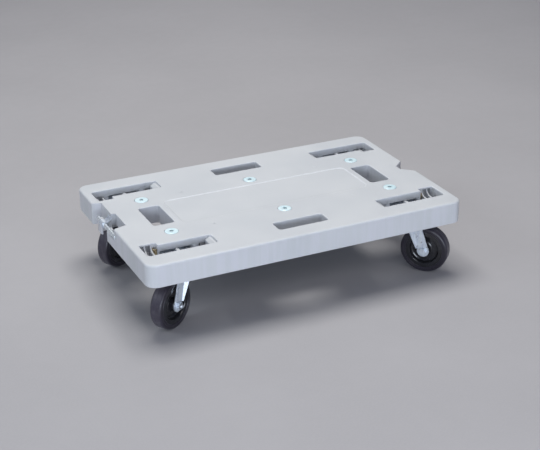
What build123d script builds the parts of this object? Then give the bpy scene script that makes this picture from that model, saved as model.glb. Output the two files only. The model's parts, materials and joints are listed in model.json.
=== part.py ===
from build123d import *
import math
import os

# Flatbed platform truck: a ribbed plastic deck on four swivel casters, with a pivoting coupling
# hook at one end and a receiving notch at the other. Units are millimetres. The floor is Z = 0,
# the origin is on the floor under the deck centre, +X runs along the deck away from the coupling
# hook and +Z is up.

# ---------------------------------------------------------------- deck, driving sizes
DECK_LENGTH = 680.0
DECK_WIDTH = 426.0
DECK_HEIGHT = 46.0
DECK_OVER_PLATE = 24.0
DECK_CORNER_R = 22.0
DECK_EDGE_R = 4.0
DECK_FOOT_R = 1.5
DECK_WALL = 4.0
DECK_SKIN = 4.0
OPENING_EDGE_R = 1.5

# Ribs under the skin: distances from the deck centre, and one more rib near each outer wall.
RIB_T = 2.6
RIB_DEPTH = 34.0
CROSS_RIBS = (0.0, 66.0, 126.0, 182.0)
LONG_RIBS = (24.0, 64.0, 104.0)
END_RIB_INSET = 18.0
SIDE_RIB_INSET = 23.0

# Casters, set in from the deck's ends and sides.
CASTER_END_INSET = 88.0
CASTER_SIDE_INSET = 64.0
CASTER_BAY = (118.0, 112.0)
TRAIL = 37.0
# Swivel heading of each caster: the side its wheel trails to, in degrees from +X.
HEADINGS = {"nl": 212.4, "nr": -47.3, "fl": 209.4, "fr": 47.3}
CORNERS = {"nl": (-1, -1), "nr": (1, -1), "fl": (-1, 1), "fr": (1, 1)}

# Hand holes: one at each end, between the deck screws, and one along each side.
END_HOLE_INSET = 97.0
END_HOLE_WIDTH = 44.0
END_HOLE_TO_SCREW = 38.0
SIDE_HOLE_INSET = 58.0
SIDE_HOLE_SIZE = (107.0, 34.0)
HOLE_CORNER_R = 6.0
SLEEVE_T = 3.0
SLEEVE_DEPTH = 34.0

# Shallow tray in the middle of the deck top, clear of the hand holes and the screws.
PANEL_TO_HOLE = 13.0
PANEL_TO_SCREW = 11.0
PANEL_DEPTH = 1.0
PANEL_CORNER_R = 15.0
PANEL_BEVEL = 45

# Wheel-nesting slots above the casters, for stacking one truck on another.
SLOT_LENGTH = 142.0
SLOT_SIDE_ROOM = 5.5
SLOT_CORNER_R = 6.0
SLOT_DEPTH = 14.0
SLOT_WALL = 2.6
SLOT_RAMP_LENGTH = 12.0
BRIDGE_T = 6.0
BRIDGE_DROP = 6.0
CRADLE_ZONE = 33.0
CRADLE_REACH = 12.0
CRADLE_RIB_T = 3.0
CRADLE_RIB_OFFSETS = (47.5, 60.0)
CRADLE_RIB_DEPTH = 20.0
CRADLE_LIP = 1.5
CRADLE_SAG = 14.0

# Small moulding pips beside the middle tray.
PIP_X = 155.0
PIP_PAST_SCREW = 2.0
PIP_R = 2.6
PIP_RAISE = 0.5

# Receiving notch in the +X end.
NOTCH_MOUTH = 66.0
NOTCH_THROAT = 17.0
NOTCH_DEPTH = 26.0
NOTCH_WALL = 3.5

# Coupling recess in the -X end, shallower on its far side.
RECESS_TO_SLOT = 17.0
RECESS_NEAR_Y = -25.0
RECESS_STEP_Y = 44.0
RECESS_SHALLOW = 18.5
RECESS_DEEP = 27.0
RECESS_SLANT = 7.0
RECESS_WALL_DEPTH = 24.0
RECESS_LIP_DROP = 24.0
RECESS_LIP_END_Y = 76.0
GAP_Y = (21.0, 57.0)

# ---------------------------------------------------------------- coupling hook
ROD_R = 4.0
ROD_INSET = 1.0
ROD_DROP = 16.0
ROD_Y = (-31.0, 75.0)
ROD_FIT = 0.05
ROD_END_PLAY = 1.2
ROD_END_R = 1.0
SADDLE_Y = ((0.0, 14.0), (60.0, 70.0))
SADDLE_BACK = 8.0
SADDLE_TOP = 2.0
HOOK_Y = (35.0, 51.0)
HOOK_WALL = 2.6
HOOK_T = 2.6
HOOK_LEAN = 36.0
HOOK_LIP = 2.5
HOOK_FIT = 0.08
HOOK_TIP_ROOM = 1.6

# ---------------------------------------------------------------- reinforcing rails and deck screws
SCREW_HEAD_R = 14.0
SCREW_HEAD_T = 3.2
SCREW_PROUD = 0.8
SCREW_R = 4.0
SCREW_SOCKET_AF = 8.0
SCREW_SOCKET_DEPTH = 2.4
SCREW_FIT = 0.25
SCREW_BOSS_R = 17.0
SCREW_TAIL = 2.5
RAIL_WIDTH = 32.0
RAIL_HEIGHT = 16.0
RAIL_T = 2.0
RAIL_DROP = 21.0
RAIL_GAP = 0.6
RAIL_TO_PLATE = 11.0
RAIL_OVERHANG = 27.0
NUT_AF = 13.0
NUT_T = 6.5
NUT_FLANGE_R = 9.0
NUT_FLANGE_T = 1.5

# ---------------------------------------------------------------- caster wheel
WHEEL_R = 50.0
WHEEL_W = 27.0
TYRE_SHOULDER_R = 5.5
TYRE_DEPTH = 11.5
CORE_INSET = 1.0
RIM_T = 8.5
CORE_WEB_T = 7.0
CORE_DRAFT = 2.0
CORE_FILLET = 2.0
CORE_BREAK = 1.0
HUB_R = 12.0
HUB_PROUD = 1.5
BEARING_R = 8.5
BEARING_FLANGE_R = 10.5
BEARING_FLANGE_T = 0.5
SLEEVE_R = 5.6
AXLE_R = 4.0
AXLE_HEAD_AF = 13.0
AXLE_HEAD_T = 5.3
AXLE_NUT_T = 6.5
AXLE_TAIL = 3.0
AXLE_TIP = 1.0
RUN_FIT = 0.06
SLIP_FIT = 0.04

# ---------------------------------------------------------------- caster plate and its bolts
PLATE_SIZE = (100.0, 76.0)
PLATE_T = 3.5
PLATE_CORNER_R = 8.0
PLATE_EDGE = 0.8
BOLT_PATTERN = (80.0, 55.0)
BOLT_R = 3.9
BOLT_AF = 13.0
BOLT_HEAD_T = 5.5
BOLT_FLANGE_R = 9.5
BOLT_FLANGE_T = 1.6
BOLT_LENGTH = 16.0
BOLT_HOLE_FIT = 0.4
INSERT_R = 5.5
INSERT_LENGTH = 14.0
BOSS_R = 9.0

# ---------------------------------------------------------------- caster swivel and fork
BALL_R = 3.0
BALL_COUNT = 12
BALL_CIRCLE_R = 21.0
BALL_BITE = 0.9
BALL_FIT = 0.05
TYRE_TO_CROWN = 22.3
CROWN_R = 31.0
CROWN_T = 3.0
CROWN_EDGE_R = 1.2
LEG_GAP = 0.4
LEG_T = 2.5
LEG_LOBE_R = 12.5
LEG_TRAIL_TOP = 13.0
LEG_CREASE_TOP = 31.5
LEG_CREASE_FOOT = (12.0, 4.0)
FLARE_ANGLE = 45.0
FLARE_TOP = 16.0
FLARE_FOOT = 4.0
KINGPIN_R = 6.0
KINGPIN_HEAD_R = 11.0
KINGPIN_HEAD_T = 3.0
WASHER_R = 14.0
WASHER_T = 2.0

# ---------------------------------------------------------------- dependents
OVER = 5.0  # how far a cutter runs past the face that it cuts
SIDES = (-1, 1)
HALF_L = DECK_LENGTH / 2
HALF_W = DECK_WIDTH / 2

# Heights, stacked from the floor.
AXLE_Z = WHEEL_R
CROWN_UNDER = 2 * WHEEL_R + TYRE_TO_CROWN
CROWN_TOP = CROWN_UNDER + CROWN_T
BALL_Z = CROWN_TOP + BALL_R - BALL_BITE
PLATE_UNDER = BALL_Z + BALL_R - BALL_BITE
PLATE_TOP = PLATE_UNDER + PLATE_T
DECK_TOP = PLATE_TOP + DECK_OVER_PLATE
DECK_BASE = DECK_TOP - DECK_HEIGHT
SKIN_UNDER = DECK_TOP - DECK_SKIN
RAIL_TOP = DECK_TOP - RAIL_DROP
RECESS_LIP_TOP = DECK_TOP - RECESS_LIP_DROP
ROD_Z = DECK_TOP - ROD_DROP

# Places in plan.
CASTER_X = HALF_L - CASTER_END_INSET
CASTER_Y = HALF_W - CASTER_SIDE_INSET
CASTER_SPOTS = [(sx * CASTER_X, sy * CASTER_Y) for sx in SIDES for sy in SIDES]
BOLT_SPOTS = [(sx * BOLT_PATTERN[0] / 2, sy * BOLT_PATTERN[1] / 2) for sx in SIDES for sy in SIDES]
END_HOLE_X = HALF_L - END_HOLE_INSET
SIDE_HOLE_Y = HALF_W - SIDE_HOLE_INSET
SCREW_X = END_HOLE_X
SCREW_Y = CASTER_Y - PLATE_SIZE[1] / 2 - RAIL_TO_PLATE - RAIL_WIDTH / 2
SCREW_SPOTS = [(sx * SCREW_X, sy * SCREW_Y) for sx in (-1, 0, 1) for sy in SIDES]
END_HOLE_SIZE = (END_HOLE_WIDTH, 2 * (SCREW_Y - END_HOLE_TO_SCREW))
PANEL_SIZE = (
    2 * (END_HOLE_X - END_HOLE_WIDTH / 2 - PANEL_TO_HOLE),
    2 * (SCREW_Y - SCREW_HEAD_R - PANEL_TO_SCREW),
)
PIP_Y = SCREW_Y + PIP_PAST_SCREW
RAIL_LENGTH = 2 * (SCREW_X + RAIL_OVERHANG)
SLOT_WIDTH = WHEEL_W + 2 * SLOT_SIDE_ROOM
RECESS_FAR_Y = CASTER_Y - SLOT_WIDTH / 2 - RECESS_TO_SLOT
ROD_X = -HALF_L + ROD_INSET
HOOK_REACH = (RECESS_SHALLOW - ROD_INSET - HOOK_TIP_ROOM) / math.cos(math.radians(HOOK_LEAN))

# Wheel and fork widths, stacked outwards from the tyre.
TYRE_BORE_R = WHEEL_R - TYRE_DEPTH
CORE_RIM_R = TYRE_BORE_R - RIM_T
CORE_W = WHEEL_W - 2 * CORE_INSET
HUB_W = WHEEL_W + 2 * HUB_PROUD
BEARING_W = HUB_W + 2 * BEARING_FLANGE_T
LEG_INNER = BEARING_W / 2 + LEG_GAP
LEG_OUTER = LEG_INNER + LEG_T


def block(x0, x1, y0, y1, z0, z1):
    """Box between two opposite corners."""
    centre = ((x0 + x1) / 2, (y0 + y1) / 2, (z0 + z1) / 2)
    return Pos(*centre) * Box(x1 - x0, y1 - y0, z1 - z0)


def disc(x, y, z0, z1, radius):
    """Upright cylinder standing on z0."""
    return Pos(x, y, (z0 + z1) / 2) * Cylinder(radius, z1 - z0)


def hexagon(x, y, z0, z1, across_flats):
    """Upright hexagonal prism standing on z0."""
    outline = RegularPolygon(across_flats / 2, 6, major_radius=False)
    return extrude(Pos(x, y, z0) * outline, z1 - z0)


def pad(x, y, z0, z1, size, corner):
    """Upright prism with rounded corners."""
    return extrude(Pos(x, y, z0) * RectangleRounded(size[0], size[1], corner), z1 - z0)


def prism(points, z0, z1):
    """Upright prism over a closed polygon."""
    face = make_face(Polyline(*[(x, y, z0) for x, y in points], close=True))
    return extrude(face, z1 - z0, dir=(0, 0, 1))


def grown(size, margin):
    """A length and width enlarged by the margin on every side."""
    return (size[0] + 2 * margin, size[1] + 2 * margin)


def across(shape):
    """Turn an upright part so that its +Z points along +Y."""
    return Rot(-90, 0, 0) * shape


# ---------------------------------------------------------------- deck
def notch_outline(margin, reach):
    """Receiving notch in plan, grown by the margin, running out past the +X end."""
    slope = (NOTCH_MOUTH - NOTCH_THROAT) / 2 / NOTCH_DEPTH
    side = math.hypot(1, slope) * margin
    inner = HALF_L - NOTCH_DEPTH - margin
    throat = NOTCH_THROAT / 2 + side - slope * margin
    mouth = throat + slope * (NOTCH_DEPTH + margin + reach)
    return [(inner, -throat), (HALF_L + reach, -mouth), (HALF_L + reach, mouth), (inner, throat)]


def recess_outline(margin, reach):
    """Coupling recess in plan, grown by the margin, running out past the -X end."""
    end = -HALF_L - reach
    shallow = -HALF_L + RECESS_SHALLOW + margin
    deep = -HALF_L + RECESS_DEEP + margin
    far = RECESS_FAR_Y + margin
    near = RECESS_NEAR_Y - margin
    step = RECESS_STEP_Y + margin
    return [
        (end, far),
        (-HALF_L, far),
        (shallow, far - RECESS_SLANT),
        (shallow, step),
        (deep, step),
        (deep, near + RECESS_SLANT),
        (-HALF_L, near),
        (end, near),
    ]


def beyond_lip():
    """Space at the far end of the coupling recess, where no lip crosses it."""
    inner = -HALF_L + 2 * RECESS_DEEP
    return block(-HALF_L - OVER, inner, RECESS_LIP_END_Y, HALF_W, DECK_BASE - OVER, DECK_TOP + OVER)


def cradle_pocket(x, y, z0, z1):
    """Widening of a slot's outer end towards the deck's long centre line."""
    outer = math.copysign(1, x)
    inboard = -math.copysign(1, y)
    middle = x + outer * (SLOT_LENGTH - CRADLE_ZONE) / 2
    reach = SLOT_WIDTH / 2 + CRADLE_REACH
    size = (CRADLE_ZONE, reach)
    return pad(middle, y + inboard * reach / 2, z0, z1, size, SLOT_CORNER_R / 2)


def deck_block():
    """Full-height deck with its openings cut and the top edges rounded."""
    body = pad(0, 0, DECK_BASE, DECK_TOP, (DECK_LENGTH, DECK_WIDTH), DECK_CORNER_R)
    body = fillet(body.faces().sort_by(Axis.Z)[-1].edges(), DECK_EDGE_R)
    body = fillet(body.faces().sort_by(Axis.Z)[0].edges(), DECK_FOOT_R)
    low = DECK_BASE - OVER
    high = DECK_TOP + OVER
    cutters = [pad(sx * END_HOLE_X, 0, low, high, END_HOLE_SIZE, HOLE_CORNER_R) for sx in SIDES]
    cutters += [pad(0, sy * SIDE_HOLE_Y, low, high, SIDE_HOLE_SIZE, HOLE_CORNER_R) for sy in SIDES]
    slot = (SLOT_LENGTH, SLOT_WIDTH)
    cutters += [pad(x, y, low, high, slot, SLOT_CORNER_R) for x, y in CASTER_SPOTS]
    cutters += [cradle_pocket(x, y, low, high) for x, y in CASTER_SPOTS]
    for cutter in cutters:
        body -= cutter
    rims = [
        edge
        for edge in body.edges().filter_by_position(Axis.Z, DECK_TOP, DECK_TOP)
        if abs(edge.center().X) < HALF_L - 2 * DECK_EDGE_R
        and abs(edge.center().Y) < HALF_W - 2 * DECK_EDGE_R
    ]
    body = fillet(rims, OPENING_EDGE_R)
    body -= prism(notch_outline(0, OVER), low, high)
    body -= prism(recess_outline(0, OVER), RECESS_LIP_TOP, high)
    body -= prism(recess_outline(0, OVER), low, high) & beyond_lip()
    return body


def deck_ribs():
    """Rib grid, sleeves, slot walls and bosses that stand under the skin."""
    low = SKIN_UNDER - RIB_DEPTH
    half = RIB_T / 2
    parts = []
    cross = {side * x for x in (*CROSS_RIBS, HALF_L - END_RIB_INSET) for side in SIDES}
    for x in sorted(cross):
        parts.append(block(x - half, x + half, -HALF_W, HALF_W, low, SKIN_UNDER))
    lengthways = {side * y for y in (*LONG_RIBS, HALF_W - SIDE_RIB_INSET) for side in SIDES}
    for y in sorted(lengthways):
        parts.append(block(-HALF_L, HALF_L, y - half, y + half, low, SKIN_UNDER))
    sleeve_low = SKIN_UNDER - SLEEVE_DEPTH
    for sx in SIDES:
        outline = grown(END_HOLE_SIZE, SLEEVE_T)
        corner = HOLE_CORNER_R + SLEEVE_T
        parts.append(pad(sx * END_HOLE_X, 0, sleeve_low, SKIN_UNDER, outline, corner))
    for sy in SIDES:
        outline = grown(SIDE_HOLE_SIZE, SLEEVE_T)
        corner = HOLE_CORNER_R + SLEEVE_T
        parts.append(pad(0, sy * SIDE_HOLE_Y, sleeve_low, SKIN_UNDER, outline, corner))
    for x, y in SCREW_SPOTS:
        parts.append(disc(x, y, RAIL_TOP, SKIN_UNDER, SCREW_BOSS_R))
    return parts


def caster_seats():
    """Bosses and slot walls above each caster plate."""
    parts = []
    for x, y in CASTER_SPOTS:
        outline = grown((SLOT_LENGTH, SLOT_WIDTH), SLOT_WALL)
        corner = SLOT_CORNER_R + SLOT_WALL
        wall = pad(x, y, DECK_TOP - SLOT_DEPTH, SKIN_UNDER, outline, corner)
        parts.append(wall - cradle_pocket(x, y, 0, DECK_TOP))
        for bx, by in BOLT_SPOTS:
            parts.append(disc(x + bx, y + by, PLATE_TOP, SKIN_UNDER, BOSS_R))
    return parts


def deck_hollow():
    """Space under the skin, less everything that stands in it."""
    inner = (DECK_LENGTH - 2 * DECK_WALL, DECK_WIDTH - 2 * DECK_WALL)
    corner = DECK_CORNER_R - DECK_WALL
    hollow = pad(0, 0, DECK_BASE - OVER, SKIN_UNDER, inner, corner)
    ribs = Part() + deck_ribs()
    for x, y in CASTER_SPOTS:
        ribs -= block(
            x - CASTER_BAY[0] / 2,
            x + CASTER_BAY[0] / 2,
            y - CASTER_BAY[1] / 2,
            y + CASTER_BAY[1] / 2,
            DECK_BASE - OVER,
            PLATE_TOP,
        )
    for sy in SIDES:
        reach = RAIL_LENGTH / 2 + RAIL_GAP
        side = RAIL_WIDTH / 2 + RAIL_GAP
        y = sy * SCREW_Y
        ribs -= block(-reach, reach, y - side, y + side, DECK_BASE - OVER, RAIL_TOP)
    ribs -= prism(recess_outline(0, OVER), DECK_BASE - OVER, DECK_TOP)
    ribs += caster_seats()
    ribs += prism(notch_outline(NOTCH_WALL, OVER), DECK_BASE, SKIN_UNDER)
    wall_low = DECK_TOP - RECESS_WALL_DEPTH
    ribs += prism(recess_outline(NOTCH_WALL, OVER), wall_low, SKIN_UNDER)
    ribs += prism(recess_outline(NOTCH_WALL, OVER), DECK_BASE, SKIN_UNDER) & beyond_lip()
    back = -HALF_L + RECESS_SHALLOW + NOTCH_WALL
    cheek = RECESS_LIP_END_Y - NOTCH_WALL
    ribs += block(-HALF_L, back, cheek, RECESS_LIP_END_Y, DECK_BASE, RECESS_LIP_TOP)
    return hollow - ribs


def slot_furniture():
    """Ramp, bridge and cradle ribs inside each nesting slot."""
    parts = []
    for x, y in CASTER_SPOTS:
        outer = math.copysign(1, x)
        side = SLOT_WIDTH / 2 + SLOT_WALL / 2
        low = DECK_TOP - SLOT_DEPTH
        # Ramp that follows the tyre, at the end of the slot nearer the deck middle.
        heel = x - outer * (SLOT_LENGTH / 2 + SLOT_WALL)
        toe = x - outer * (SLOT_LENGTH / 2 - SLOT_RAMP_LENGTH)
        ramp = block(min(heel, toe), max(heel, toe), y - side, y + side, low - SLOT_WALL, SKIN_UNDER)
        axle_x = x - outer * TRAIL
        ramp -= Pos(axle_x, y, low + WHEEL_R) * across(Cylinder(WHEEL_R, 4 * side))
        parts.append(ramp)
        # Bridge across the slot over the swivel axis.
        half = BRIDGE_T / 2
        parts.append(block(x - half, x + half, y - side, y + side, low - BRIDGE_DROP, low))
        # Cradle ribs at the outer end, with tops that fall away from the deck's centre line.
        inboard = -math.copysign(1, y)
        root = y + inboard * (side + CRADLE_REACH)
        far = y - inboard * side
        top = DECK_TOP - CRADLE_LIP
        brow = y + inboard * (SLOT_WIDTH / 2 + CRADLE_REACH)
        foot = brow - inboard * CRADLE_SAG
        half = CRADLE_RIB_T / 2
        for offset in CRADLE_RIB_OFFSETS:
            rib_x = x + outer * offset
            x0, x1 = rib_x - half, rib_x + half
            rib = block(x0, x1, min(root, far), max(root, far), DECK_TOP - CRADLE_RIB_DEPTH, top)
            rib -= Pos(rib_x, foot, top) * (Rot(0, 90, 0) * Cylinder(CRADLE_SAG, OVER))
            rib -= block(x0, x1, min(foot, far), max(foot, far), top - CRADLE_SAG, top)
            parts.append(rib)
    return parts


def coupling_seats():
    """Saddles on the recess lip that carry the hinge rod."""
    parts = []
    inner = -HALF_L + SADDLE_BACK
    for y0, y1 in SADDLE_Y:
        parts.append(block(-HALF_L, inner, y0, y1, RECESS_LIP_TOP - OVER, ROD_Z + SADDLE_TOP))
    return parts


def rod_shape(radius, margin):
    """Cylinder along Y on the hinge axis."""
    length = ROD_Y[1] - ROD_Y[0] + 2 * margin
    middle = (ROD_Y[0] + ROD_Y[1]) / 2
    return Pos(ROD_X, middle, ROD_Z) * across(Cylinder(radius, length))


def make_deck():
    deck = deck_block() - deck_hollow()
    deck += slot_furniture()
    deck += coupling_seats()
    panel = Pos(0, 0, DECK_TOP) * RectangleRounded(*PANEL_SIZE, PANEL_CORNER_R)
    deck -= extrude(panel, -PANEL_DEPTH, taper=PANEL_BEVEL)
    for x, y in SCREW_SPOTS:
        seat = DECK_TOP + SCREW_PROUD - SCREW_HEAD_T
        deck -= disc(x, y, seat, DECK_TOP + OVER, SCREW_HEAD_R + SCREW_FIT)
        deck -= disc(x, y, DECK_BASE, DECK_TOP, SCREW_R + SCREW_FIT)
    for x, y in CASTER_SPOTS:
        for bx, by in BOLT_SPOTS:
            deck -= disc(x + bx, y + by, PLATE_TOP - OVER, PLATE_TOP + INSERT_LENGTH, INSERT_R)
    for sx in SIDES:
        for sy in SIDES:
            deck += disc(sx * PIP_X, sy * PIP_Y, SKIN_UNDER, DECK_TOP + PIP_RAISE, PIP_R)
    deck -= rod_shape(ROD_R + ROD_FIT, ROD_END_PLAY)
    deck -= block(-HALF_L - OVER, -HALF_L + SADDLE_BACK, GAP_Y[0], GAP_Y[1], 0, RECESS_LIP_TOP + OVER)
    return deck


# ---------------------------------------------------------------- coupling hook
def make_hinge_rod():
    rod = rod_shape(ROD_R, 0)
    return chamfer(rod.edges().filter_by(GeomType.CIRCLE), ROD_END_R)


def make_coupling_hook():
    """Strap welded to a knuckle round the hinge rod, with a turned-up lip at its tip."""
    middle = (HOOK_Y[0] + HOOK_Y[1]) / 2
    width = HOOK_Y[1] - HOOK_Y[0]
    bore = ROD_R + HOOK_FIT
    knuckle = across(Cylinder(bore + HOOK_WALL, width))
    strap = block(0, HOOK_REACH, -width / 2, width / 2, -HOOK_T / 2, HOOK_T / 2)
    strap += block(HOOK_REACH - HOOK_T, HOOK_REACH, -width / 2, width / 2, 0, HOOK_T / 2 + HOOK_LIP)
    strap = fillet(strap.faces().sort_by(Axis.X)[-1].edges().filter_by(Axis.Z), width / 3)
    hook = knuckle + strap - across(Cylinder(bore, 2 * width))
    return Pos(ROD_X, middle, ROD_Z) * Rot(0, -HOOK_LEAN, 0) * hook


# ---------------------------------------------------------------- rails and deck fasteners
def make_rail(y):
    """Pressed steel channel, open downwards, bolted under the deck."""
    low = RAIL_TOP - RAIL_HEIGHT
    half = RAIL_WIDTH / 2
    reach = RAIL_LENGTH / 2
    rail = block(-reach, reach, y - half, y + half, low, RAIL_TOP)
    rail = fillet(rail.faces().sort_by(Axis.Z)[-1].edges().filter_by(Axis.X), 2 * RAIL_T)
    inner = half - RAIL_T
    trough = block(-reach, reach, y - inner, y + inner, low - OVER, RAIL_TOP - RAIL_T)
    rail -= fillet(trough.faces().sort_by(Axis.Z)[-1].edges().filter_by(Axis.X), RAIL_T)
    for x in sorted({spot[0] for spot in SCREW_SPOTS}):
        rail -= disc(x, y, low, RAIL_TOP + OVER, SCREW_R + SCREW_FIT)
    return rail


def make_deck_screw(x, y):
    """Broad flat head with a hexagonal socket, over a plain shank."""
    top = DECK_TOP + SCREW_PROUD
    head = disc(x, y, top - SCREW_HEAD_T, top, SCREW_HEAD_R)
    rim = head.edges().sort_by(Axis.Z)[-1]
    head = fillet(rim, SCREW_HEAD_T / 2)
    tail = RAIL_TOP - RAIL_T - NUT_T - SCREW_TAIL
    screw = head + disc(x, y, tail, top - SCREW_HEAD_T, SCREW_R)
    return screw - hexagon(x, y, top - SCREW_SOCKET_DEPTH, top + OVER, SCREW_SOCKET_AF)


def make_rail_nut(x, y):
    """Flange nut drawn up inside the rail."""
    seat = RAIL_TOP - RAIL_T
    nut = hexagon(x, y, seat - NUT_T, seat, NUT_AF)
    nut += disc(x, y, seat - NUT_FLANGE_T, seat, NUT_FLANGE_R)
    return nut - disc(x, y, seat - 2 * NUT_T, seat + OVER, SCREW_R)


# ---------------------------------------------------------------- caster, built on its swivel axis
def make_caster_bolt(x, y):
    """Flange bolt driven up through the caster plate."""
    seat = PLATE_UNDER
    bolt = disc(x, y, seat, seat + BOLT_LENGTH, BOLT_R)
    bolt += disc(x, y, seat - BOLT_FLANGE_T, seat, BOLT_FLANGE_R)
    return bolt + hexagon(x, y, seat - BOLT_HEAD_T, seat, BOLT_AF)


def make_insert(x, y):
    """Threaded insert moulded into a deck boss."""
    body = disc(x, y, PLATE_TOP, PLATE_TOP + INSERT_LENGTH, INSERT_R)
    return body - disc(x, y, 0, DECK_TOP, BOLT_R)


def race_groove():
    """Ring swept by the balls, with running clearance."""
    section = Plane.XZ * Pos(BALL_CIRCLE_R, BALL_Z) * Circle(BALL_R + BALL_FIT)
    return revolve(section, Axis.Z)


def make_plate():
    plate = pad(0, 0, PLATE_UNDER, PLATE_TOP, PLATE_SIZE, PLATE_CORNER_R)
    plate = chamfer(plate.faces().sort_by(Axis.Z)[0].edges(), PLATE_EDGE)
    for x, y in BOLT_SPOTS:
        plate -= disc(x, y, 0, DECK_TOP, BOLT_R + BOLT_HOLE_FIT)
    plate -= disc(0, 0, 0, DECK_TOP, KINGPIN_R)
    return plate - race_groove()


def make_kingpin():
    """Rivet that hangs the fork from the plate."""
    low = CROWN_UNDER - SLIP_FIT - WASHER_T
    pin = disc(0, 0, low, PLATE_TOP, KINGPIN_R)
    upper = disc(0, 0, PLATE_TOP, PLATE_TOP + KINGPIN_HEAD_T, KINGPIN_HEAD_R)
    upper = fillet(upper.edges().sort_by(Axis.Z)[-1], KINGPIN_HEAD_T / 2)
    lower = disc(0, 0, low - KINGPIN_HEAD_T, low, KINGPIN_HEAD_R)
    lower = fillet(lower.edges().sort_by(Axis.Z)[0], KINGPIN_HEAD_T / 2)
    return pin + upper + lower


def make_pin_washer():
    low = CROWN_UNDER - SLIP_FIT - WASHER_T
    washer = disc(0, 0, low, low + WASHER_T, WASHER_R)
    return washer - disc(0, 0, 0, DECK_TOP, KINGPIN_R)


def make_balls():
    ball = Pos(BALL_CIRCLE_R, 0, BALL_Z) * Sphere(BALL_R)
    return [Rot(0, 0, 360 * k / BALL_COUNT) * ball for k in range(BALL_COUNT)]


def leg_crease():
    """Foot and top of the bend in a fork leg, in its own plane; the wheel trails to +X."""
    foot = Vector(TRAIL - LEG_CREASE_FOOT[0], 0, AXLE_Z + LEG_CREASE_FOOT[1])
    return foot, Vector(TRAIL - LEG_CREASE_TOP, 0, CROWN_TOP)


def make_leg():
    """Fork leg whose leading part flares outwards, widest where it meets the crown."""
    foot, top = leg_crease()
    outline = [(TRAIL + LEG_LOBE_R, 0, AXLE_Z), (TRAIL - LEG_TRAIL_TOP, 0, CROWN_TOP), top, foot]
    face = make_face(Polyline(*outline, (TRAIL, 0, AXLE_Z), close=True))
    leg = extrude(face, LEG_T / 2, both=True)
    leg += Pos(TRAIL, 0, AXLE_Z) * across(Cylinder(LEG_LOBE_R, LEG_T))
    lean = math.radians(FLARE_ANGLE)
    away = Vector(-math.cos(lean), math.sin(lean), 0)
    flare = make_face(Polyline(foot, top, top + away * FLARE_TOP, foot + away * FLARE_FOOT, close=True))
    leg += extrude(flare, LEG_T / 2, both=True)
    bend = Plane(origin=foot, z_dir=top - foot) * Circle(LEG_T / 2)
    return leg + extrude(bend, (top - foot).length)


def make_fork():
    """Pressed fork: a round crown over two legs."""
    leg = make_leg()
    middle = LEG_INNER + LEG_T / 2
    crown = disc(0, 0, CROWN_UNDER, CROWN_TOP, CROWN_R)
    crown = fillet(crown.edges().sort_by(Axis.Z)[0], CROWN_EDGE_R)
    fork = crown + Pos(0, middle, 0) * leg
    fork += Pos(0, -middle, 0) * mirror(leg, Plane.XZ)
    fork -= disc(0, 0, CROWN_TOP, CROWN_TOP + OVER, 2 * CROWN_R)
    fork -= disc(0, 0, 0, DECK_TOP, KINGPIN_R + RUN_FIT)
    fork -= Pos(TRAIL, 0, AXLE_Z) * across(Cylinder(AXLE_R + SLIP_FIT, 4 * LEG_OUTER))
    return fork - race_groove()


def axle_part(shape):
    """Move a part built along Z at the origin onto the wheel axis."""
    return Pos(TRAIL, 0, AXLE_Z) * across(shape)


def make_axle():
    """Hexagon bolt through both legs."""
    tail = LEG_OUTER + AXLE_NUT_T + AXLE_TAIL
    bolt = disc(0, 0, -LEG_OUTER, tail, AXLE_R)
    bolt = chamfer(bolt.edges().sort_by(Axis.Z)[-1], AXLE_TIP)
    return axle_part(bolt + hexagon(0, 0, -LEG_OUTER - AXLE_HEAD_T, -LEG_OUTER, AXLE_HEAD_AF))


def make_axle_nut():
    """Hexagon nut whose outer end is turned down to a round face."""
    face = AXLE_HEAD_AF / 2
    nut = hexagon(0, 0, LEG_OUTER, LEG_OUTER + AXLE_NUT_T, AXLE_HEAD_AF)
    nut &= Pos(0, 0, LEG_OUTER + AXLE_NUT_T / 2) * Cone(face + AXLE_NUT_T, face, AXLE_NUT_T)
    return axle_part(nut - disc(0, 0, 0, LEG_OUTER + 2 * AXLE_NUT_T, AXLE_R))


def make_axle_sleeve():
    tube = Cylinder(SLEEVE_R, 2 * LEG_INNER) - Cylinder(AXLE_R, 4 * LEG_INNER)
    return axle_part(tube)


def make_bearing():
    """Flanged plain bush pressed into the hub from both sides."""
    bush = Cylinder(BEARING_R, HUB_W)
    for side in SIDES:
        reach = side * (HUB_W / 2)
        outer = side * (BEARING_W / 2)
        bush += disc(0, 0, min(reach, outer), max(reach, outer), BEARING_FLANGE_R)
    return axle_part(bush - Cylinder(SLEEVE_R + RUN_FIT, 2 * BEARING_W))


def make_wheel_core():
    """Plastic centre: rim, dished web and hub, as one turned section."""
    half = CORE_W / 2
    web = CORE_WEB_T / 2
    hub = HUB_W / 2
    points = [
        (BEARING_R, 0),
        (BEARING_R, hub),
        (HUB_R - CORE_BREAK, hub),
        (HUB_R, hub - CORE_BREAK),
        (HUB_R + CORE_DRAFT, web + CORE_BREAK),
        (HUB_R + CORE_DRAFT + CORE_FILLET, web),
        (CORE_RIM_R - CORE_DRAFT - CORE_FILLET, web),
        (CORE_RIM_R - CORE_DRAFT, web + CORE_BREAK),
        (CORE_RIM_R, half - CORE_BREAK),
        (CORE_RIM_R + CORE_BREAK, half),
        (TYRE_BORE_R, half),
        (TYRE_BORE_R, 0),
    ]
    lower = [(x, -z) for x, z in reversed(points) if z > 0]
    section = make_face(Polyline(*[(x, 0, z) for x, z in points + lower], close=True))
    return axle_part(revolve(section, Axis.Z))


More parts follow.
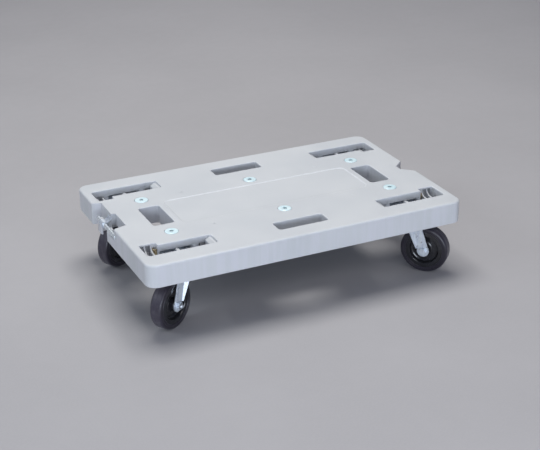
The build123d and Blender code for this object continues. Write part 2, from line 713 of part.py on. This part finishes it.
def make_tyre():
    tyre = Cylinder(WHEEL_R, WHEEL_W)
    shoulders = tyre.edges().filter_by(GeomType.CIRCLE)
    tyre = fillet(shoulders, TYRE_SHOULDER_R)
    return axle_part(tyre - Cylinder(TYRE_BORE_R, 2 * WHEEL_W))


def make_caster():
    """Every piece of one caster, keyed by node prefix."""
    return {
        "caster_plate": [make_plate()],
        "king_pin": [make_kingpin()],
        "pin_washer": [make_pin_washer()],
        "race_balls": make_balls(),
        "fork": [make_fork()],
        "axle_bolt": [make_axle()],
        "axle_nut": [make_axle_nut()],
        "axle_sleeve": [make_axle_sleeve()],
        "wheel_bush": [make_bearing()],
        "wheel_core": [make_wheel_core()],
        "tyre": [make_tyre()],
    }


def place_caster(shape, name, corner):
    """Stand a caster piece at its corner of the deck; all but the plate turn to the heading."""
    heading = 0 if name == "caster_plate" else HEADINGS[corner]
    sx, sy = CORNERS[corner]
    return Pos(sx * CASTER_X, sy * CASTER_Y, 0) * Rot(0, 0, heading) * shape


def save(name, shapes):
    solids = [solid for shape in shapes for solid in shape.solids()]
    node = solids[0] if len(solids) == 1 else Compound(children=solids)
    node.label = name
    export_step(node, f"parts/{name}.step")
    print(name, len(solids))


os.makedirs("parts", exist_ok=True)
save("deck", [make_deck()])
save("hinge_rod", [make_hinge_rod()])
save("coupling_hook", [make_coupling_hook()])
save("rail_near", [make_rail(-SCREW_Y)])
save("rail_far", [make_rail(SCREW_Y)])
save("deck_screws", [make_deck_screw(x, y) for x, y in SCREW_SPOTS])
save("rail_nuts", [make_rail_nut(x, y) for x, y in SCREW_SPOTS])
bolt_places = [(x + bx, y + by) for x, y in CASTER_SPOTS for bx, by in BOLT_SPOTS]
save("caster_bolts", [make_caster_bolt(x, y) for x, y in bolt_places])
save("boss_inserts", [make_insert(x, y) for x, y in bolt_places])
for piece, shapes in make_caster().items():
    for corner in CORNERS:
        save(f"{piece}_{corner}", [place_caster(shape, piece, corner) for shape in shapes])
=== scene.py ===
import json
import math

import bmesh
import bpy
from mathutils import Euler, Matrix, Vector


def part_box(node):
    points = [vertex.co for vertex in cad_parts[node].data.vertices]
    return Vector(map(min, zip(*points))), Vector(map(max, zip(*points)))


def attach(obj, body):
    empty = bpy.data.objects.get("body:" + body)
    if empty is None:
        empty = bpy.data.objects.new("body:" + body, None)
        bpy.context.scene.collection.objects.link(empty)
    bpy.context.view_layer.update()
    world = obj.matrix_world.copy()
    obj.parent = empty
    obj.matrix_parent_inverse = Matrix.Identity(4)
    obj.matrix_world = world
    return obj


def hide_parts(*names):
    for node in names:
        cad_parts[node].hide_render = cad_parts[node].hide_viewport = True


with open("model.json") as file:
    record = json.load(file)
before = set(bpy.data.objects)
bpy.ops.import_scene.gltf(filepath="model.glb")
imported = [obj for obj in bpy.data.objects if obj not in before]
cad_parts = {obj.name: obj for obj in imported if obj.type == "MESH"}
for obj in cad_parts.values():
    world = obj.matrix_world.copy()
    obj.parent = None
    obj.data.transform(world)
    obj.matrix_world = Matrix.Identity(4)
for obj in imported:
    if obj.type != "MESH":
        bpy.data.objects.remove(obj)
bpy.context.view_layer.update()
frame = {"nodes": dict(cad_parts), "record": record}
NODES = frame["nodes"]
JOINTS = {joint["name"]: joint for joint in frame["record"]["behaviour"]["joints"]}
CORNERS = ("nl", "nr", "fl", "fr")
SCENE = bpy.context.scene
MM = 0.001


def link(obj):
    SCENE.collection.objects.link(obj)
    return obj


# ---------------------------------------------------------------- camera and light
# metres, degrees and millimetres
CAMERA_PLACE = (-1.0148, -2.1637, 1.1812)
CAMERA_TURN = (65.37, 0.514, -25.51)
CAMERA_LENS = 84.18
CAMERA_SENSOR = 36.0

camera_data = bpy.data.cameras.new("camera")
camera_data.lens = CAMERA_LENS
camera_data.sensor_width = CAMERA_SENSOR
camera = link(bpy.data.objects.new("camera", camera_data))
camera.location = CAMERA_PLACE
camera.rotation_euler = Euler([math.radians(turn) for turn in CAMERA_TURN])
SCENE.camera = camera
SCENE.view_settings.view_transform = "Standard"


def area_light(name, place, target, size, power, colour):
    """Rectangular soft light that faces a target."""
    data = bpy.data.lights.new(name, "AREA")
    data.shape = "RECTANGLE"
    data.size, data.size_y = size
    data.energy = power
    data.color = colour
    light = link(bpy.data.objects.new(name, data))
    light.location = place
    light.rotation_mode = "QUATERNION"
    light.rotation_quaternion = (Vector(target) - Vector(place)).to_track_quat("-Z", "Y")


# name, place, target, size (m), power (W), colour
LIGHTS = (
    ("overhead_light", (0.1, 0.62, 3.2), (0, 0, 0), (1.9, 1.5), 76, (1.0, 0.985, 0.96)),
    ("backdrop_light", (1.1, 3.2, 2.4), (1.3, 3.0, 0), (3.0, 2.0), 21, (1.0, 0.99, 0.98)),
    ("foreground_light", (0.15, -2.0, 1.7), (0.15, -1.6, 0), (1.8, 0.9), 9, (1.0, 0.98, 1.0)),
    ("front_light", (-0.9, -2.7, 0.5), (0, 0, 0.14), (2.4, 0.8), 45, (0.80, 0.875, 1.0)),
    ("left_light", (-2.4, 0.2, 1.5), (-0.3, 0, 0.14), (1.2, 0.9), 14, (0.88, 0.94, 1.0)),
)
SKY_COLOUR = (0.60, 0.68, 1.0, 1)
SKY_STRENGTH = 0.13

for light in LIGHTS:
    area_light(*light)

world = bpy.data.worlds.new("studio")
world.use_nodes = True
world.node_tree.nodes["Background"].inputs["Color"].default_value = SKY_COLOUR
world.node_tree.nodes["Background"].inputs["Strength"].default_value = SKY_STRENGTH
SCENE.world = world


# ---------------------------------------------------------------- material building blocks
MIX_FACTOR, MIX_A, MIX_B, MIX_RESULT = 0, 6, 7, 2  # the colour sockets of a Mix node
NOISE_MIDDLE = (0.3, 0.7)
SHADE_SAMPLES = 4
FLAT_FROM, FLAT_TO = 0.6, 0.9
OPEN_SHADE, DEEP_SHADE = 0.95, 0.35


class Finish:
    """One procedural material: short calls that add a node and return its output socket."""

    def __init__(self, name, **uniform):
        self.material = bpy.data.materials.new(name)
        self.material.use_nodes = True
        self.tree = self.material.node_tree
        self.shader = self.tree.nodes["Principled BSDF"]
        for socket, value in uniform.items():
            self.shader.inputs[socket.replace("_", " ")].default_value = value
        self.coords = self.add("ShaderNodeTexCoord").outputs

    def add(self, kind, inputs=None, **settings):
        made = self.tree.nodes.new(kind)
        for key, value in settings.items():
            setattr(made, key, value)
        for key, value in (inputs or {}).items():
            self.plug(made.inputs[key], value)
        return made

    def plug(self, socket, value):
        if isinstance(value, bpy.types.NodeSocket):
            self.tree.links.new(value, socket)
        else:
            socket.default_value = value

    def stretched(self, scale, place=None):
        """Coordinates in metres, the object's own unless given, with a scale along each axis."""
        inputs = {"Vector": place or self.coords["Object"], "Scale": scale}
        return self.add("ShaderNodeMapping", inputs).outputs["Vector"]

    def noise(self, scale, detail=3.0, rough=0.5, along=None, distort=0.0):
        inputs = {"Scale": scale, "Detail": detail, "Roughness": rough, "Distortion": distort}
        inputs["Vector"] = along or self.coords["Object"]
        return self.add("ShaderNodeTexNoise", inputs).outputs["Fac"]

    def cells(self, scale, feature="F1"):
        inputs = {"Scale": scale, "Vector": self.coords["Object"]}
        return self.add("ShaderNodeTexVoronoi", inputs, feature=feature)

    def math(self, operation, a, b=0.0):
        return self.add("ShaderNodeMath", {0: a, 1: b}, operation=operation).outputs["Value"]

    def times(self, a, b):
        return self.math("MULTIPLY", a, b)

    def plus(self, a, b):
        return self.math("ADD", a, b)

    def span(self, value, low, high, to_low=0.0, to_high=1.0):
        """Value between low and high, carried smoothly to to_low ... to_high."""
        ends = {"From Min": low, "From Max": high, "To Min": to_low, "To Max": to_high}
        made = self.add("ShaderNodeMapRange", {"Value": value, **ends}, interpolation_type="SMOOTHSTEP")
        return made.outputs["Result"]

    def cloud(self, scale, detail, to_low=0.0, to_high=1.0):
        """Noise with its middle stretched over to_low ... to_high."""
        return self.span(self.noise(scale, detail), *NOISE_MIDDLE, to_low, to_high)

    def mix(self, factor, a, b):
        made = self.add("ShaderNodeMix", data_type="RGBA")
        self.plug(made.inputs[MIX_FACTOR], factor)
        for socket, colour in ((MIX_A, a), (MIX_B, b)):
            self.plug(made.inputs[socket], (*colour, 1) if isinstance(colour, tuple) else colour)
        return made.outputs[MIX_RESULT]

    def tint(self, colour, mask, amount, other):
        """Colour moved towards another where the mask is high."""
        return self.mix(self.times(mask, amount), colour, other)

    def edges(self, radius, low, high):
        """1 on edges sharper than the radius, 0 on open faces; and the rounded normal."""
        bevel = self.add("ShaderNodeBevel", {"Radius": radius}, samples=SHADE_SAMPLES)
        rounded = bevel.outputs["Normal"]
        normal = self.add("ShaderNodeNewGeometry").outputs["True Normal"]
        dot = self.add("ShaderNodeVectorMath", {0: rounded, 1: normal}, operation="DOT_PRODUCT")
        return self.span(dot.outputs["Value"], high, low), rounded

    def corners(self, distance):
        """1 deep in corners and pockets, from ambient occlusion: the mask for painted shade in corners,
        and for dust on the wheel core.
        """
        shade = self.add("ShaderNodeAmbientOcclusion", {"Distance": distance}, samples=SHADE_SAMPLES)
        return self.span(shade.outputs["AO"], OPEN_SHADE, DEEP_SHADE)

    def facing_up(self):
        """1 where the surface lies flat, 0 on upright walls."""
        split = self.add("ShaderNodeSeparateXYZ", {0: self.coords["Normal"]})
        return self.span(self.math("ABSOLUTE", split.outputs["Z"]), FLAT_FROM, FLAT_TO)

    def bump(self, height, strength, distance, normal=None):
        inputs = {"Height": height, "Strength": strength, "Distance": distance}
        if normal:
            inputs["Normal"] = normal
        return self.add("ShaderNodeBump", inputs).outputs["Normal"]

    def finish(self, colour, rough, normal):
        self.plug(self.shader.inputs["Base Color"], colour)
        self.plug(self.shader.inputs["Roughness"], rough)
        self.plug(self.shader.inputs["Normal"], normal)
        return self.material


# ---------------------------------------------------------------- finishes
AXLE_PLACE = "axle_place"
WHEEL_R = JOINTS["roll_nl"]["pos_m"][2]  # the wheel stands on the floor
TYRE_HALF = 13.5 * MM
TYRE_BORE_R = 38.5 * MM
SHOULDER = 5.5 * MM
SIDE_RINGS = 5200.0  # radians of ring per metre of radius


def deck_plastic():
    """Pale grey moulded polypropylene: fine grain, flow marks (on the walls partly painted light),
    light scuffs, paler edges (painted highlight and wear) and painted shade in its corners.
    """
    f = Finish("deck_plastic", Metallic=0.0, IOR=1.49)
    up = f.facing_up()
    cloud = f.span(f.noise(6, 4, 0.55), 0.3, 0.7)
    colour = f.mix(cloud, (0.585, 0.612, 0.632), (0.635, 0.658, 0.672))
    flow = f.noise(1, 3, 0.6, along=f.stretched((55, 55, 4)))
    # flow streaks on upright walls, drawn lighter and bluer: real streaks that also carry painted
    # light, the pale blue tone of lit walls
    wall_streaks_and_light = f.times(f.span(flow, 0.35, 0.65), f.math("SUBTRACT", 1.0, up))
    colour = f.tint(colour, wall_streaks_and_light, 0.55, (0.69, 0.70, 0.75))
    speck = f.span(f.noise(1400, 2, 0.6), 0.62, 0.72)
    colour = f.tint(colour, speck, 0.16, (0.42, 0.44, 0.46))
    long_marks = f.noise(1, 4, 0.7, along=f.stretched((9, 420, 9)), distort=0.3)
    cross_marks = f.noise(1, 4, 0.7, along=f.stretched((380, 12, 12)), distort=0.4)
    patches = f.span(f.noise(13, 2), 0.52, 0.68)
    marks = f.math("MAXIMUM", f.span(long_marks, 0.66, 0.74), f.span(cross_marks, 0.67, 0.75))
    marks = f.times(f.times(marks, patches), up)
    colour = f.tint(colour, marks, 0.45, (0.74, 0.76, 0.77))
    # edges painted paler: a painted highlight along the rims, and wear, broken up by noise
    worn, rounded = f.edges(3.2 * MM, 0.93, 0.998)
    broken = f.span(f.noise(70, 3), 0.3, 0.62, 0.30, 0.70)
    colour = f.tint(colour, worn, broken, (0.84, 0.86, 0.90))
    # painted shade: the colour darkened deep in corners and pockets, broken up by noise
    corner_shade = f.times(f.corners(9 * MM), f.span(f.noise(90, 3), 0.3, 0.8, 0.5, 1.0))
    colour = f.tint(colour, corner_shade, 0.16, (0.33, 0.34, 0.37))
    rough = f.plus(f.cloud(24, 4, 0.40, 0.52), f.times(marks, 0.15))
    grain = f.bump(f.noise(850, 2, 0.55), 0.30, 0.10 * MM, rounded)
    peel = f.bump(f.noise(60, 2), 0.20, 0.35 * MM, grain)
    return f.finish(colour, rough, f.bump(marks, 0.25, -0.08 * MM, peel))


CRYSTAL_DARKER = 0.72
STREAK_BRIGHTER = 1.12


def plated_steel(name, dark, light, metallic, rough, grain=420.0, shade_amount=0.45):
    """Bright zinc plate: clouded crystals, streaks, drawing lines, polished edges and painted shade in
    its corners.
    """
    f = Finish(name, Metallic=metallic, IOR=1.6)
    cloud = f.span(f.noise(55, 5, 0.6), 0.28, 0.72)
    colour = f.mix(cloud, dark, light)
    crystal = f.cells(grain)
    tint = f.add("ShaderNodeSeparateColor", {0: crystal.outputs["Color"]}).outputs[0]
    colour = f.tint(colour, tint, 0.10, tuple(CRYSTAL_DARKER * part for part in dark))
    streaks = f.span(f.noise(1, 3, 0.6, along=f.stretched((230, 230, 14))), 0.4, 0.62)
    bright = tuple(min(1.0, STREAK_BRIGHTER * part) for part in light)
    colour = f.tint(colour, streaks, 0.5, bright)
    pits = f.span(f.noise(1100, 2), 0.66, 0.76)
    colour = f.tint(colour, pits, 0.12, (0.22, 0.23, 0.26))
    worn, rounded = f.edges(0.6 * MM, 0.80, 0.995)
    colour = f.tint(colour, worn, 0.75, (0.93, 0.96, 0.98))
    # painted shade: the colour darkened deep in corners and crevices, by shade_amount
    crevice_shade = f.times(f.corners(6 * MM), f.span(f.noise(160, 3), 0.35, 0.7, 0.35, 1.0))
    colour = f.tint(colour, crevice_shade, shade_amount, (0.10, 0.105, 0.12))
    lines = f.noise(1, 3, 0.6, along=f.stretched((260, 260, 2600)))
    low, high = rough
    gloss = f.plus(f.cloud(120, 4, low, high), f.times(crevice_shade, 0.2))
    fine = f.bump(lines, 0.18, 0.03 * MM, rounded)
    return f.finish(colour, gloss, f.bump(f.noise(130, 3), 0.22, 0.10 * MM, fine))


def polished_rod():
    """Drawn bright bar that runs across the truck: turning lines round it and a few dull rubs."""
    f = Finish("rod_steel", Metallic=0.6, IOR=1.6)
    bands = f.noise(1, 3, 0.7, along=f.stretched((90, 900, 90)))
    colour = f.mix(f.span(bands, 0.35, 0.65), (0.80, 0.87, 0.90), (0.93, 0.98, 1.0))
    rubs = f.span(f.noise(95, 4), 0.58, 0.68)
    colour = f.tint(colour, rubs, 0.35, (0.45, 0.47, 0.50))
    worn, rounded = f.edges(0.5 * MM, 0.8, 0.995)
    colour = f.mix(worn, colour, (0.95, 0.97, 0.98))
    rough = f.plus(f.span(bands, 0.3, 0.7, 0.16, 0.28), f.times(rubs, 0.2))
    return f.finish(colour, rough, f.bump(bands, 0.15, 0.03 * MM, rounded))


def painted_rail():
    """Dark satin powder coat: orange peel, dust on top and bare steel where edges are chipped."""
    f = Finish("rail_steel", Metallic=0.0, IOR=1.5)
    colour = f.mix(f.cloud(30, 4), (0.165, 0.172, 0.19), (0.215, 0.222, 0.24))
    dust = f.times(f.facing_up(), f.span(f.noise(45, 5, 0.65), 0.42, 0.72))
    colour = f.tint(colour, dust, 0.35, (0.42, 0.41, 0.40))
    worn, rounded = f.edges(0.7 * MM, 0.8, 0.99)
    chips = f.times(worn, f.span(f.noise(210, 4, 0.7), 0.5, 0.6))
    colour = f.mix(chips, colour, (0.55, 0.56, 0.57))
    rough = f.plus(f.cloud(80, 3, 0.34, 0.46), f.times(dust, 0.3))
    peel = f.bump(f.noise(420, 2), 0.35, 0.10 * MM, rounded)
    return f.finish(colour, rough, f.bump(chips, 0.4, -0.08 * MM, peel))


def ball_steel():
    """Hardened, ground and greased steel: near mirror, with brown grease films."""
    f = Finish("ball_steel", Metallic=1.0)
    colour = f.mix(f.cloud(240, 3), (0.60, 0.61, 0.63), (0.78, 0.79, 0.80))
    grease = f.span(f.noise(150, 4), 0.52, 0.66)
    colour = f.tint(colour, grease, 0.55, (0.32, 0.22, 0.11))
    rough = f.plus(f.cloud(700, 2, 0.08, 0.18), f.times(grease, 0.16))
    return f.finish(colour, rough, f.bump(f.noise(900, 2), 0.12, 0.02 * MM))


def turned_brass():
    """Turned brass: tool rings stacked up its height and brown tarnish."""
    f = Finish("brass", Metallic=1.0)
    rings = f.noise(1, 2, 0.5, along=f.stretched((70, 70, 2400)))
    colour = f.mix(f.span(rings, 0.35, 0.65), (0.42, 0.33, 0.19), (0.55, 0.45, 0.28))
    tarnish = f.span(f.noise(170, 4), 0.48, 0.7)
    colour = f.tint(colour, tarnish, 0.5, (0.30, 0.18, 0.08))
    worn, rounded = f.edges(0.4 * MM, 0.8, 0.99)
    colour = f.mix(worn, colour, (0.90, 0.76, 0.42))
    rough = f.plus(f.span(rings, 0.3, 0.7, 0.20, 0.32), f.times(tarnish, 0.2))
    return f.finish(colour, rough, f.bump(rings, 0.2, 0.04 * MM, rounded))


def core_plastic():
    """Glossy black moulded wheel: faint flow clouds, hairline scratches and dust in its corners."""
    f = Finish("core_plastic", Metallic=0.0, IOR=1.52, Coat_Weight=0.35, Coat_Roughness=0.08)
    colour = f.mix(f.cloud(35, 4), (0.010, 0.010, 0.012), (0.022, 0.022, 0.026))
    hair = f.noise(1, 4, 0.75, along=f.stretched((40, 700, 900)), distort=0.5)
    hair = f.times(f.span(hair, 0.66, 0.72), f.span(f.noise(60, 2), 0.45, 0.65))
    colour = f.tint(colour, hair, 0.4, (0.16, 0.16, 0.17))
    dust = f.times(f.corners(5 * MM), f.span(f.noise(220, 4), 0.35, 0.75))
    colour = f.tint(colour, dust, 0.12, (0.15, 0.15, 0.155))
    worn, rounded = f.edges(0.6 * MM, 0.8, 0.99)
    colour = f.tint(colour, worn, 0.5, (0.09, 0.09, 0.10))
    rough = f.cloud(110, 3, 0.16, 0.26)
    rough = f.plus(rough, f.times(f.math("MAXIMUM", dust, hair), 0.3))
    return f.finish(colour, rough, f.bump(f.noise(160, 2), 0.12, 0.12 * MM, rounded))


def bush_plastic():
    """Dark bearing nylon: waxy, slightly blotched, turned faces and a rubbed rim."""
    f = Finish("bush_plastic", Metallic=0.0, IOR=1.53)
    colour = f.mix(f.cloud(190, 4), (0.075, 0.075, 0.085), (0.125, 0.125, 0.135))
    worn, rounded = f.edges(0.5 * MM, 0.8, 0.99)
    colour = f.tint(colour, worn, 0.7, (0.26, 0.26, 0.27))
    grease = f.span(f.noise(140, 3), 0.55, 0.7)
    colour = f.tint(colour, grease, 0.4, (0.05, 0.035, 0.02))
    rough = f.math("SUBTRACT", f.cloud(300, 2, 0.40, 0.55), f.times(grease, 0.2))
    return f.finish(colour, rough, f.bump(f.noise(1300, 2), 0.25, 0.04 * MM, rounded))


def tread_rubber():
    """Dark elastic rubber; the stored axle places are centred on the wheel with the axle along Y."""
    f = Finish("tread_rubber", Metallic=0.0, IOR=1.5, Sheen_Weight=0.12, Sheen_Roughness=0.45)
    axle = f.add("ShaderNodeAttribute", attribute_name=AXLE_PLACE).outputs["Vector"]
    split = f.add("ShaderNodeSeparateXYZ", {0: axle}).outputs
    across = f.math("ABSOLUTE", split["Y"])
    squares = f.plus(f.times(split["X"], split["X"]), f.times(split["Z"], split["Z"]))
    radius = f.math("POWER", squares, 0.5)
    colour = f.mix(f.cloud(45, 4), (0.022, 0.019, 0.029), (0.034, 0.030, 0.045))
    outer = f.span(radius, WHEEL_R - 3.0 * MM, WHEEL_R - 0.3 * MM)
    tread = f.times(outer, f.span(across, TYRE_HALF - 1.0 * MM, TYRE_HALF - 5.0 * MM))
    rings = f.noise(1, 3, 0.6, along=f.stretched((30, 2200, 30), axle))
    # side walls painted darker than the tread: painted shade
    wall = f.span(across, TYRE_HALF - 1.5 * MM, TYRE_HALF - 0.3 * MM)
    colour = f.tint(colour, wall, 0.6, (0.013, 0.011, 0.017))
    # tread drawn lighter and purpler: wear, and a painted highlight along the tread
    tread_wear_and_highlight = f.times(tread, f.span(rings, 0.35, 0.65, 0.4, 1.0))
    colour = f.tint(colour, tread_wear_and_highlight, 0.34, (0.095, 0.084, 0.120))
    dust = f.times(tread, f.span(f.noise(95, 5, 0.7), 0.48, 0.70))
    colour = f.tint(colour, dust, 0.16, (0.24, 0.23, 0.24))
    nicks = f.cells(330, "DISTANCE_TO_EDGE").outputs["Distance"]
    nicks = f.times(f.span(nicks, 0.05, 0.0), f.span(f.noise(150, 2), 0.56, 0.62))
    colour = f.tint(colour, nicks, 0.4, (0.012, 0.012, 0.014))
    rough = f.plus(f.cloud(260, 3, 0.30, 0.42), f.times(tread_wear_and_highlight, 0.16))
    circles = f.math("SINE", f.times(radius, SIDE_RINGS))
    side = f.times(circles, f.span(across, TYRE_HALF - 0.7 * MM, TYRE_HALF - 0.1 * MM))
    ringed = f.bump(side, 0.12, 0.05 * MM)
    worn_tread = f.bump(f.times(rings, tread), 0.25, 0.12 * MM, ringed)
    grain = f.bump(f.noise(900, 3), 0.25, 0.06 * MM, worn_tread)
    return f.finish(colour, rough, f.bump(nicks, 0.4, -0.15 * MM, grain))


def paper_floor():
    """Pale grey studio paper: slow clouds, fibre grain and a dull, dry surface."""
    f = Finish("floor_paper", Metallic=0.0)
    colour = f.mix(f.cloud(2.2, 3), (0.410, 0.402, 0.410), (0.435, 0.427, 0.435))
    fibre = f.span(f.noise(260, 4, 0.65), 0.3, 0.7)
    colour = f.tint(colour, fibre, 0.5, (0.450, 0.442, 0.450))
    rough = f.cloud(30, 3, 0.80, 0.92)
    return f.finish(colour, rough, f.bump(fibre, 0.15, 0.1 * MM))


ZINC = {
    "dark": (0.64, 0.70, 0.80), "light": (0.84, 0.91, 0.99), "metallic": 0.55, "rough": (0.26, 0.42),
}
SCREW = {
    "dark": (0.62, 0.84, 0.90), "light": (0.78, 0.96, 1.0), "metallic": 0.15, "rough": (0.30, 0.42),
    "grain": 900.0, "shade_amount": 0.95,
}
FINISHES = {
    "deck_plastic": deck_plastic(),
    "screw_steel": plated_steel("screw_steel", **SCREW),
    "zinc_steel": plated_steel("zinc_steel", **ZINC),
    "rod_steel": polished_rod(),
    "rail_steel": painted_rail(),
    "ball_steel": ball_steel(),
    "brass": turned_brass(),
    "core_plastic": core_plastic(),
    "bush_plastic": bush_plastic(),
    "tread_rubber": tread_rubber(),
}
for node in NODES.values():
    for slot in node.material_slots:
        if slot.material:
            slot.material = FINISHES[slot.material.name.split(".")[0]]


# ---------------------------------------------------------------- turned pieces on the wheels
# the tyre's section
SHOULDER_STEPS = 10
SEAM_DEPTH, SEAM_HALF = 0.35 * MM, 0.25 * MM
SEAM_RISE_DEPTH, SEAM_RISE_HALF = 0.08 * MM, 0.6 * MM
SEAM_END_HALF = 1.1 * MM
GROOVE_OVER_BORE = 4.2 * MM
GROOVE_TOP_HALF, GROOVE_FOOT_HALF, GROOVE_DEPTH = 0.9 * MM, 0.4 * MM, 0.5 * MM
BORE_LIP = 0.8 * MM

# the nut's collar and the bolt's tail
NUT_HALF = 3.25 * MM
BOLT_R = 4 * MM
COLLAR_R = 5.9 * MM
COLLAR_PROUD = 1.1 * MM
COLLAR_LIP, COLLAR_LIP_STEPS = 0.5 * MM, 5
COLLAR_FOOT = -0.3 * MM
COLLAR_DISH = 0.2 * MM
COLLAR_BORE_TOP = 0.3 * MM
CREST_STEP = 0.625 * MM
CREST_PROUD, ROOT_PROUD, END_DEPTH = 0.25 * MM, 0.02 * MM, 0.25 * MM
TAIL_FROM, TAIL_TO = 0.8 * MM, 2.1 * MM

ROUND_STEPS, SMALL_STEPS = 144, 64
SOFT_ANGLE, CREST_ANGLE = 40, 20


def turned(name, outline, steps=ROUND_STEPS, sharp=SOFT_ANGLE):
    """Closed ring turned about Y from (radius, along axle) points; each point's place is stored."""
    mesh = bmesh.new()
    rings = []
    for step in range(steps):
        angle = 2 * math.pi * step / steps
        x, z = math.cos(angle), math.sin(angle)
        rings.append([mesh.verts.new((r * x, y, r * z)) for r, y in outline])
    for step, ring in enumerate(rings):
        after = rings[(step + 1) % steps]
        for i in range(len(outline)):
            j = (i + 1) % len(outline)
            mesh.faces.new((ring[i], ring[j], after[j], after[i])).smooth = True
    bmesh.ops.recalc_face_normals(mesh, faces=mesh.faces)
    data = bpy.data.meshes.new(name)
    mesh.to_mesh(data)
    mesh.free()
    places = data.attributes.new(AXLE_PLACE, "FLOAT_VECTOR", "POINT").data
    for vertex, place in zip(data.vertices, places):
        place.vector = vertex.co
    data.set_sharp_from_angle(angle=math.radians(sharp))
    return link(bpy.data.objects.new(name, data))


def arc(centre_r, centre_y, radius, start, end, steps):
    """Points of an arc in the (radius, along) plane; 0 degrees points away from the axle."""
    angles = [math.radians(start + (end - start) * i / steps) for i in range(steps + 1)]
    return [(centre_r + radius * math.cos(a), centre_y + radius * math.sin(a)) for a in angles]


def tyre_outline():
    """Half the tyre's section from the mould line to the bore, mirrored: a moulding seam in the
    middle of the tread, round shoulders, a side wall with one groove, and a bore lip."""
    half = [
        (WHEEL_R - SEAM_DEPTH, 0.0),
        (WHEEL_R - SEAM_DEPTH, SEAM_HALF),
        (WHEEL_R - SEAM_RISE_DEPTH, SEAM_RISE_HALF),
        (WHEEL_R, SEAM_END_HALF),
    ]
    half += arc(WHEEL_R - SHOULDER, TYRE_HALF - SHOULDER, SHOULDER, 0, 90, SHOULDER_STEPS)
    groove = TYRE_BORE_R + GROOVE_OVER_BORE
    half += [
        (groove + GROOVE_TOP_HALF, TYRE_HALF),
        (groove + GROOVE_FOOT_HALF, TYRE_HALF - GROOVE_DEPTH),
        (groove - GROOVE_FOOT_HALF, TYRE_HALF - GROOVE_DEPTH),
        (groove - GROOVE_TOP_HALF, TYRE_HALF),
        (TYRE_BORE_R + BORE_LIP, TYRE_HALF),
        (TYRE_BORE_R, TYRE_HALF - BORE_LIP),
    ]
    return half + [(r, -y) for r, y in reversed(half[1:])]


def on_axle(piece, corner, body):
    """Stand a piece turned about Y on the wheel's axle and let it ride on a body."""
    joint = JOINTS[f"roll_{corner}"]
    x, y, _ = joint["axis"]
    turn = Matrix.Rotation(math.atan2(-x, y), 4, "Z")
    piece.data.transform(Matrix.Translation(joint["pos_m"]) @ turn)
    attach(piece, f"{body}_{corner}")
    return piece


def beyond_nut(corner):
    """Signed place along the axle of the nut's outer face, and the way that it faces."""
    joint = JOINTS[f"roll_{corner}"]
    low, high = (Vector(point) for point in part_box(f"axle_nut_{corner}"))
    along = ((low + high) / 2 - Vector(joint["pos_m"])).dot(Vector(joint["axis"]))
    way = math.copysign(1.0, along)
    return along + way * NUT_HALF, way


def collar_outline(face, way):
    """Section of the nut's nylon locking ring: round outer lip, squeezed in towards the bolt."""
    lip = arc(COLLAR_R - COLLAR_LIP, COLLAR_PROUD - COLLAR_LIP, COLLAR_LIP, 0, 90, COLLAR_LIP_STEPS)
    inside = [
        (BOLT_R + COLLAR_LIP, COLLAR_PROUD - COLLAR_DISH),
        (BOLT_R, COLLAR_BORE_TOP),
        (BOLT_R, COLLAR_FOOT),
    ]
    return [(r, face + way * y) for r, y in [(COLLAR_R, COLLAR_FOOT), *lip, *inside]]


def thread_outline(face, way):
    """Section of the thread on the bolt's tail: a row of crests that dips into the bolt at its ends."""
    points = [(BOLT_R - END_DEPTH, TAIL_FROM)]
    y = TAIL_FROM
    while y + CREST_STEP < TAIL_TO:
        points.append((BOLT_R + CREST_PROUD, y + CREST_STEP / 2))
        points.append((BOLT_R + ROOT_PROUD, y + CREST_STEP))
        y += CREST_STEP
    points.append((BOLT_R - END_DEPTH, TAIL_TO))
    return [(r, face + way * y) for r, y in points]


def wheel_piece(name, outline, corner, body, slot, *shape):
    """Turned piece on a corner's axle, with its finish, that rides on a body."""
    piece = on_axle(turned(f"{name}_{corner}", outline, *shape), corner, body)
    piece.data.materials.append(FINISHES[slot])
    return piece


for corner in CORNERS:
    nut = beyond_nut(corner)
    wheel_piece("nut_collar", collar_outline(*nut), corner, "swivel", "bush_plastic", SMALL_STEPS)
    thread = thread_outline(*nut)
    wheel_piece("bolt_thread", thread, corner, "swivel", "zinc_steel", SMALL_STEPS, CREST_ANGLE)
    tyre = wheel_piece("moulded_tyre", tyre_outline(), corner, "wheel", "tread_rubber")
    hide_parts(f"tyre_{corner}")


# ---------------------------------------------------------------- floor
FLOOR_HALF = 30.0
FLOOR_CORNERS = [(x * FLOOR_HALF, y * FLOOR_HALF, 0) for x, y in ((-1, -1), (1, -1), (1, 1), (-1, 1))]

floor_mesh = bpy.data.meshes.new("floor")
floor_mesh.from_pydata(FLOOR_CORNERS, [], [(0, 1, 2, 3)])
floor = link(bpy.data.objects.new("floor", floor_mesh))
floor_mesh.materials.append(paper_floor())
